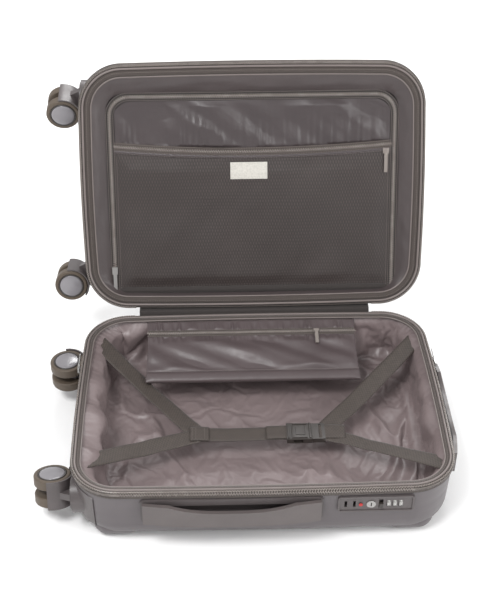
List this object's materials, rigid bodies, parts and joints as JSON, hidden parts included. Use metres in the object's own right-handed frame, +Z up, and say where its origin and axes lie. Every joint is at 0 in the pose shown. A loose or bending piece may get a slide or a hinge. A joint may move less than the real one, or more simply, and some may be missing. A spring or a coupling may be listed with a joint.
{
  "type": "hard shell suitcase",
  "caption": "Hard shell cabin suitcase lying open: swivelling twin-wheel casters, trolley handle, carry handles, combination lock, lining, divider, straps and pouch.",
  "frame": {"origin": "middle of the back half, on the surface that the case lies on", "axes": "+X to the top handle, wheels at -X, -Y to the carry handle and lock, +Y to the hinge, +Z up; lid open 112 degrees at rest"},
  "size_m": [0.5642, 0.5968, 0.438],
  "materials": {
    "shell": "satin, moulded polycarbonate",
    "zip_fabric": "woven tape",
    "zip_coil": "nylon coil",
    "piping": "satin covered cord",
    "lining": "loose satin",
    "binding": "woven binding with zip",
    "mesh": "fine knitted mesh",
    "strap": "woven webbing",
    "black_plastic": "moulded, slightly glossy",
    "dark_plastic": "satin moulded plastic",
    "handle_grip": "soft satin",
    "metal": "satin metal",
    "aluminium": "anodised tube",
    "wheel": "grey-brown tread on a plastic hub"
  },
  "bodies": {
    "case_back": {"back_shell": "shell", "back_zip_tape": "zip_fabric", "back_zip_teeth": "zip_coil", "back_piping": "piping", "back_lining": "lining", "back_wheel_housings": "dark_plastic", "trolley_outer_tubes": "aluminium", "trolley_cup": "dark_plastic", "trolley_tube_bracket": "black_plastic", "side_handle_bezel": "dark_plastic", "top_handle_bezel": "dark_plastic", "lock_case": "dark_plastic", "left_straps": "strap", "right_straps": "strap", "buckle_socket": "black_plastic", "hinge_tape": "zip_fabric"},
    "lid": {"front_shell": "shell", "front_zip_tape": "zip_fabric", "front_zip_teeth": "zip_coil", "front_piping": "piping", "front_lining": "lining", "front_wheel_housings": "dark_plastic"},
    "divider": {"divider_frame": "binding", "divider_panel": "lining", "mesh_pocket": "mesh", "pocket_zip": "zip_coil"},
    "divider_zip_slider": {"divider_zip_slider": "metal"},
    "pocket_zip_slider": {"pocket_zip_slider": "zip_coil"},
    "pouch": {"pouch": "lining"},
    "pouch_zip_slider": {"pouch_zip_slider": "zip_coil"},
    "left_zip_slider": {"left_zip_slider": "metal"},
    "right_zip_slider": {"right_zip_slider": "metal"},
    "trolley_button": {"trolley_button": "black_plastic"},
    "side_handle_grip": {"side_handle_grip": "handle_grip"},
    "top_handle_grip": {"top_handle_grip": "handle_grip"},
    "lock_dial_1": {"lock_dial_1": "metal"},
    "lock_dial_2": {"lock_dial_2": "metal"},
    "lock_dial_3": {"lock_dial_3": "metal"},
    "key_cylinder": {"key_cylinder": "metal"},
    "lock_release_slider": {"lock_release_slider": "black_plastic"},
    "buckle_plug": {"buckle_plug": "black_plastic"},
    "trolley_middle": {"trolley_middle_tubes": "aluminium"},
    "trolley_inner": {"trolley_inner_tubes": "aluminium", "trolley_grip": "handle_grip"},
    "back_front_caster": {"back_front_caster_fork": "dark_plastic", "back_front_axle": "metal"},
    "back_front_wheel_a": {"back_front_wheel_a": "wheel"},
    "back_front_wheel_b": {"back_front_wheel_b": "wheel"},
    "back_rear_caster": {"back_rear_caster_fork": "dark_plastic", "back_rear_axle": "metal"},
    "back_rear_wheel_a": {"back_rear_wheel_a": "wheel"},
    "back_rear_wheel_b": {"back_rear_wheel_b": "wheel"},
    "front_upper_caster": {"front_upper_caster_fork": "dark_plastic", "front_upper_axle": "metal"},
    "front_upper_wheel_a": {"front_upper_wheel_a": "wheel"},
    "front_upper_wheel_b": {"front_upper_wheel_b": "wheel"},
    "front_lower_caster": {"front_lower_caster_fork": "dark_plastic", "front_lower_axle": "metal"},
    "front_lower_wheel_a": {"front_lower_wheel_a": "wheel"},
    "front_lower_wheel_b": {"front_lower_wheel_b": "wheel"}
  },
  "joints": [
    {"name": "lid_hinge", "type": "hinge", "parent": "case_back", "child": "lid", "pos_m": [0, 0.184, 0.1005], "axis": [-1, 0, 0], "range_deg": [-112, 68], "deforming": ["hinge_tape"]},
    {"name": "divider_hinge", "type": "hinge", "parent": "lid", "child": "divider", "pos_m": [0, 0.20783, 0.11676], "axis": [1, 0, 0], "range_deg": [0, 65]},
    {"name": "pouch_hinge", "type": "hinge", "parent": "case_back", "child": "pouch", "pos_m": [-0.006, 0.1685, 0.093], "axis": [-1, 0, 0], "range_deg": [0, 80]},
    {"name": "pouch_zip", "type": "slide", "parent": "pouch", "child": "pouch_zip_slider", "axis": [-1, 0, 0], "range_m": [0, 0.235]},
    {"name": "pocket_zip_run", "type": "slide", "parent": "divider", "child": "pocket_zip_slider", "axis": [-1, 0, 0], "range_m": [0, 0.37]},
    {"name": "divider_zip_run", "type": "slide", "parent": "divider", "child": "divider_zip_slider", "axis": [0, 0.3746, 0.9272], "range_m": [0, 0.2]},
    {"name": "left_zip_run", "type": "slide", "parent": "case_back", "child": "left_zip_slider", "axis": [0, -1, 0], "range_m": [0, 0.12]},
    {"name": "right_zip_run", "type": "slide", "parent": "case_back", "child": "right_zip_slider", "axis": [0, -1, 0], "range_m": [0, 0.12]},
    {"name": "trolley_stage_1", "type": "slide", "parent": "case_back", "child": "trolley_middle", "axis": [1, 0, 0], "range_m": [0, 0.25]},
    {"name": "trolley_stage_2", "type": "slide", "parent": "trolley_middle", "child": "trolley_inner", "axis": [1, 0, 0], "range_m": [0, 0.25]},
    {"name": "trolley_button_press", "type": "slide", "parent": "trolley_inner", "child": "trolley_button", "axis": [-1, 0, 0], "range_m": [0, 0.003], "stiffness_N_per_m": 400},
    {"name": "side_handle_pull", "type": "slide", "parent": "case_back", "child": "side_handle_grip", "axis": [0, -1, 0], "range_m": [0, 0.01], "stiffness_N_per_m": 250},
    {"name": "top_handle_pull", "type": "slide", "parent": "case_back", "child": "top_handle_grip", "axis": [1, 0, 0], "range_m": [0, 0.01], "stiffness_N_per_m": 250},
    {"name": "dial_1_turn", "type": "hinge", "parent": "case_back", "child": "lock_dial_1", "pos_m": [0.1572, -0.173, 0.0705], "axis": [1, 0, 0], "continuous": true},
    {"name": "dial_2_turn", "type": "hinge", "parent": "case_back", "child": "lock_dial_2", "pos_m": [0.1649, -0.173, 0.0705], "axis": [1, 0, 0], "continuous": true},
    {"name": "dial_3_turn", "type": "hinge", "parent": "case_back", "child": "lock_dial_3", "pos_m": [0.1726, -0.173, 0.0705], "axis": [1, 0, 0], "continuous": true},
    {"name": "key_turn", "type": "hinge", "parent": "case_back", "child": "key_cylinder", "pos_m": [0.1348, -0.1774, 0.0705], "axis": [0, -1, 0], "range_deg": [0, 90]},
    {"name": "lock_release", "type": "slide", "parent": "case_back", "child": "lock_release_slider", "axis": [0, 0, 1], "range_m": [0, 0.006], "stiffness_N_per_m": 120},
    {"name": "buckle_release", "type": "slide", "parent": "case_back", "child": "buckle_plug", "axis": [1, 0, 0], "range_m": [0, 0.014], "deforming": ["right_straps"]},
    {"name": "back_front_swivel", "type": "hinge", "parent": "case_back", "child": "back_front_caster", "pos_m": [-0.241, -0.13, 0.049], "axis": [1, 0, 0], "continuous": true},
    {"name": "back_front_wheel_a_spin", "type": "hinge", "parent": "back_front_caster", "child": "back_front_wheel_a", "pos_m": [-0.2763, -0.11279, 0.04374], "axis": [0, 0.2924, 0.9563], "continuous": true},
    {"name": "back_front_wheel_b_spin", "type": "hinge", "parent": "back_front_caster", "child": "back_front_wheel_b", "pos_m": [-0.2763, -0.11279, 0.04374], "axis": [0, 0.2924, 0.9563], "continuous": true},
    {"name": "back_rear_swivel", "type": "hinge", "parent": "case_back", "child": "back_rear_caster", "pos_m": [-0.241, 0.13, 0.049], "axis": [1, 0, 0], "continuous": true},
    {"name": "back_rear_wheel_a_spin", "type": "hinge", "parent": "back_rear_caster", "child": "back_rear_wheel_a", "pos_m": [-0.2763, 0.112, 0.049], "axis": [0, 0, -1], "continuous": true},
    {"name": "back_rear_wheel_b_spin", "type": "hinge", "parent": "back_rear_caster", "child": "back_rear_wheel_b", "pos_m": [-0.2763, 0.112, 0.049], "axis": [0, 0, -1], "continuous": true},
    {"name": "front_upper_swivel", "type": "hinge", "parent": "lid", "child": "front_upper_caster", "pos_m": [-0.241, 0.34938, 0.37234], "axis": [1, 0, 0], "continuous": true},
    {"name": "front_upper_wheel_a_spin", "type": "hinge", "parent": "front_upper_caster", "child": "front_upper_wheel_a", "pos_m": [-0.2763, 0.35201, 0.35454], "axis": [0, 0.9893, 0.1461], "continuous": true},
    {"name": "front_upper_wheel_b_spin", "type": "hinge", "parent": "front_upper_caster", "child": "front_upper_wheel_b", "pos_m": [-0.2763, 0.35201, 0.35454], "axis": [0, 0.9893, 0.1461], "continuous": true},
    {"name": "front_lower_swivel", "type": "hinge", "parent": "lid", "child": "front_lower_caster", "pos_m": [-0.241, 0.25198, 0.13128], "axis": [1, 0, 0], "continuous": true},
    {"name": "front_lower_wheel_a_spin", "type": "hinge", "parent": "front_lower_caster", "child": "front_lower_wheel_a", "pos_m": [-0.2763, 0.24854, 0.11361], "axis": [0, 0.9816, -0.1908], "continuous": true},
    {"name": "front_lower_wheel_b_spin", "type": "hinge", "parent": "front_lower_caster", "child": "front_lower_wheel_b", "pos_m": [-0.2763, 0.24854, 0.11361], "axis": [0, 0.9816, -0.1908], "continuous": true}
  ]
}
